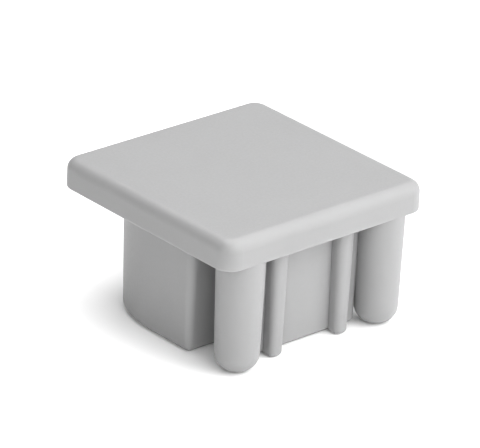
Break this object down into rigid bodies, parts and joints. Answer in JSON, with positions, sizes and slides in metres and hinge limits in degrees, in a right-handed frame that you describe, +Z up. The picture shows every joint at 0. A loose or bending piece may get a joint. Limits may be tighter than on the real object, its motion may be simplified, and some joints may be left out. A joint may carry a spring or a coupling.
{
  "type": "profile end cap",
  "caption": "Square moulded end cap for a framing profile: a cover plate over a hollow push-in plug with round corner posts and guide ribs.",
  "frame": {"origin": "under the middle of the cover plate, on the surface that the plug's foot stands on", "axes": "+Z up through the cover plate, -Y towards the side with the two round posts"},
  "size_m": [0.04, 0.04, 0.0234],
  "materials": {
    "grey_plastic": "matte_plastic"
  },
  "bodies": {
    "root": {"end_cap": "grey_plastic"}
  },
  "joints": []
}
